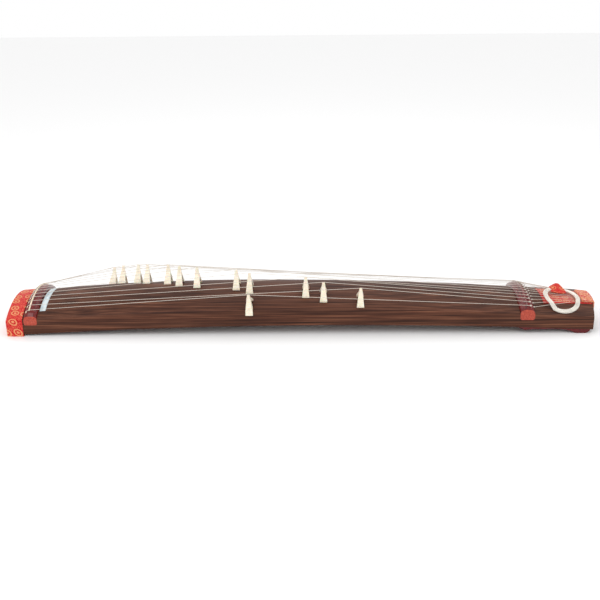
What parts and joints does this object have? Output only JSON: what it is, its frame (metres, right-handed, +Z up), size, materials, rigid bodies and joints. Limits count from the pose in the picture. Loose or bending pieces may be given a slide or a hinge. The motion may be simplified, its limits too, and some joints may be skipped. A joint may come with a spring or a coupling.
{
  "type": "koto",
  "caption": "Long hollow Japanese zither in scorched paulownia, strings over movable bridges, red brocade hood at the head and brocade at the tail.",
  "frame": {"origin": "middle of the length and width, on the floor the instrument rests on", "axes": "+X from the covered head to the tail, +Y from string 1 to string 13, +Z up"},
  "size_m": [1.8396, 0.2864, 0.1804],
  "materials": {
    "scorched_paulownia": "satin",
    "plain_paulownia": "matte",
    "rosewood": "polished",
    "cream_hard": "satin",
    "brocade": "woven",
    "pearl_tape": "pearly",
    "string": "satin"
  },
  "bodies": {
    "koto_body": {"soundboard_shell": "scorched_paulownia", "ryukaku": "rosewood", "unkaku": "rosewood", "ryukaku_strip": "cream_hard", "unkaku_strip": "cream_hard", "back_board": "scorched_paulownia", "head_block": "rosewood", "tail_block": "plain_paulownia", "brace_head": "plain_paulownia", "brace_middle": "plain_paulownia", "brace_tail": "plain_paulownia", "mouth_plate": "rosewood", "mouth_tongue": "cream_hard", "number_tape": "pearl_tape", "tail_brocade": "brocade", "tail_cover": "brocade", "tail_foot_near": "rosewood", "tail_foot_far": "rosewood", "string_01": "string", "string_02": "string", "string_03": "string", "string_04": "string", "string_05": "string", "string_06": "string", "string_07": "string", "string_08": "string", "string_09": "string", "string_10": "string", "string_11": "string", "string_12": "string", "string_13": "string", "surplus_coil": "string", "coil_tie": "brocade"},
    "hood": {"head_hood": "brocade"},
    "ji_01_body": {"ji_01": "cream_hard"},
    "ji_02_body": {"ji_02": "cream_hard"},
    "ji_03_body": {"ji_03": "cream_hard"},
    "ji_04_body": {"ji_04": "cream_hard"},
    "ji_05_body": {"ji_05": "cream_hard"},
    "ji_06_body": {"ji_06": "cream_hard"},
    "ji_07_body": {"ji_07": "cream_hard"},
    "ji_08_body": {"ji_08": "cream_hard"},
    "ji_09_body": {"ji_09": "cream_hard"},
    "ji_10_body": {"ji_10": "cream_hard"},
    "ji_11_body": {"ji_11": "cream_hard"},
    "ji_12_body": {"ji_12": "cream_hard"},
    "ji_13_body": {"ji_13": "cream_hard"}
  },
  "joints": [
    {"name": "ji_01_slide", "type": "slide", "parent": "koto_body", "child": "ji_01_body", "axis": [1, 0.0039, 0.0009], "range_m": [-0.03, 0.03], "deforming": ["string_01"]},
    {"name": "ji_02_slide", "type": "slide", "parent": "koto_body", "child": "ji_02_body", "axis": [0.9997, 0.0032, -0.0225], "range_m": [-0.03, 0.03], "deforming": ["string_02"]},
    {"name": "ji_03_slide", "type": "slide", "parent": "koto_body", "child": "ji_03_body", "axis": [0.9999, 0.0026, -0.0148], "range_m": [-0.0147, 0.03], "deforming": ["string_03"]},
    {"name": "ji_04_slide", "type": "slide", "parent": "koto_body", "child": "ji_04_body", "axis": [0.9999, 0.0019, -0.0124], "range_m": [-0.03, 0.0147], "deforming": ["string_04"]},
    {"name": "ji_05_slide", "type": "slide", "parent": "koto_body", "child": "ji_05_body", "axis": [1, 0.0013, -0.0008], "range_m": [-0.0084, 0.03], "deforming": ["string_05"]},
    {"name": "ji_06_slide", "type": "slide", "parent": "koto_body", "child": "ji_06_body", "axis": [1, 0.0007, 0.0043], "range_m": [-0.03, 0.0084], "deforming": ["string_06"]},
    {"name": "ji_07_slide", "type": "slide", "parent": "koto_body", "child": "ji_07_body", "axis": [0.9997, 0, 0.0254], "range_m": [-0.0167, 0.03], "deforming": ["string_07"]},
    {"name": "ji_08_slide", "type": "slide", "parent": "koto_body", "child": "ji_08_body", "axis": [0.9995, -0.0006, 0.0329], "range_m": [-0.0069, 0.0167], "deforming": ["string_08"]},
    {"name": "ji_09_slide", "type": "slide", "parent": "koto_body", "child": "ji_09_body", "axis": [0.9993, -0.0013, 0.0363], "range_m": [-0.0228, 0.0069], "deforming": ["string_09"]},
    {"name": "ji_10_slide", "type": "slide", "parent": "koto_body", "child": "ji_10_body", "axis": [0.9991, -0.0019, 0.043], "range_m": [-0.0041, 0.0228], "deforming": ["string_10"]},
    {"name": "ji_11_slide", "type": "slide", "parent": "koto_body", "child": "ji_11_body", "axis": [0.9989, -0.0026, 0.0471], "range_m": [-0.0144, 0.0041], "deforming": ["string_11"]},
    {"name": "ji_12_slide", "type": "slide", "parent": "koto_body", "child": "ji_12_body", "axis": [0.9985, -0.0032, 0.0546], "range_m": [-0.005, 0.0144], "deforming": ["string_12"]},
    {"name": "ji_13_slide", "type": "slide", "parent": "koto_body", "child": "ji_13_body", "axis": [0.9982, -0.0039, 0.0597], "range_m": [-0.03, 0.005], "deforming": ["string_13"]},
    {"name": "hood_slide", "type": "slide", "parent": "koto_body", "child": "hood", "axis": [-1, 0, 0], "range_m": [0, 0.12]}
  ]
}
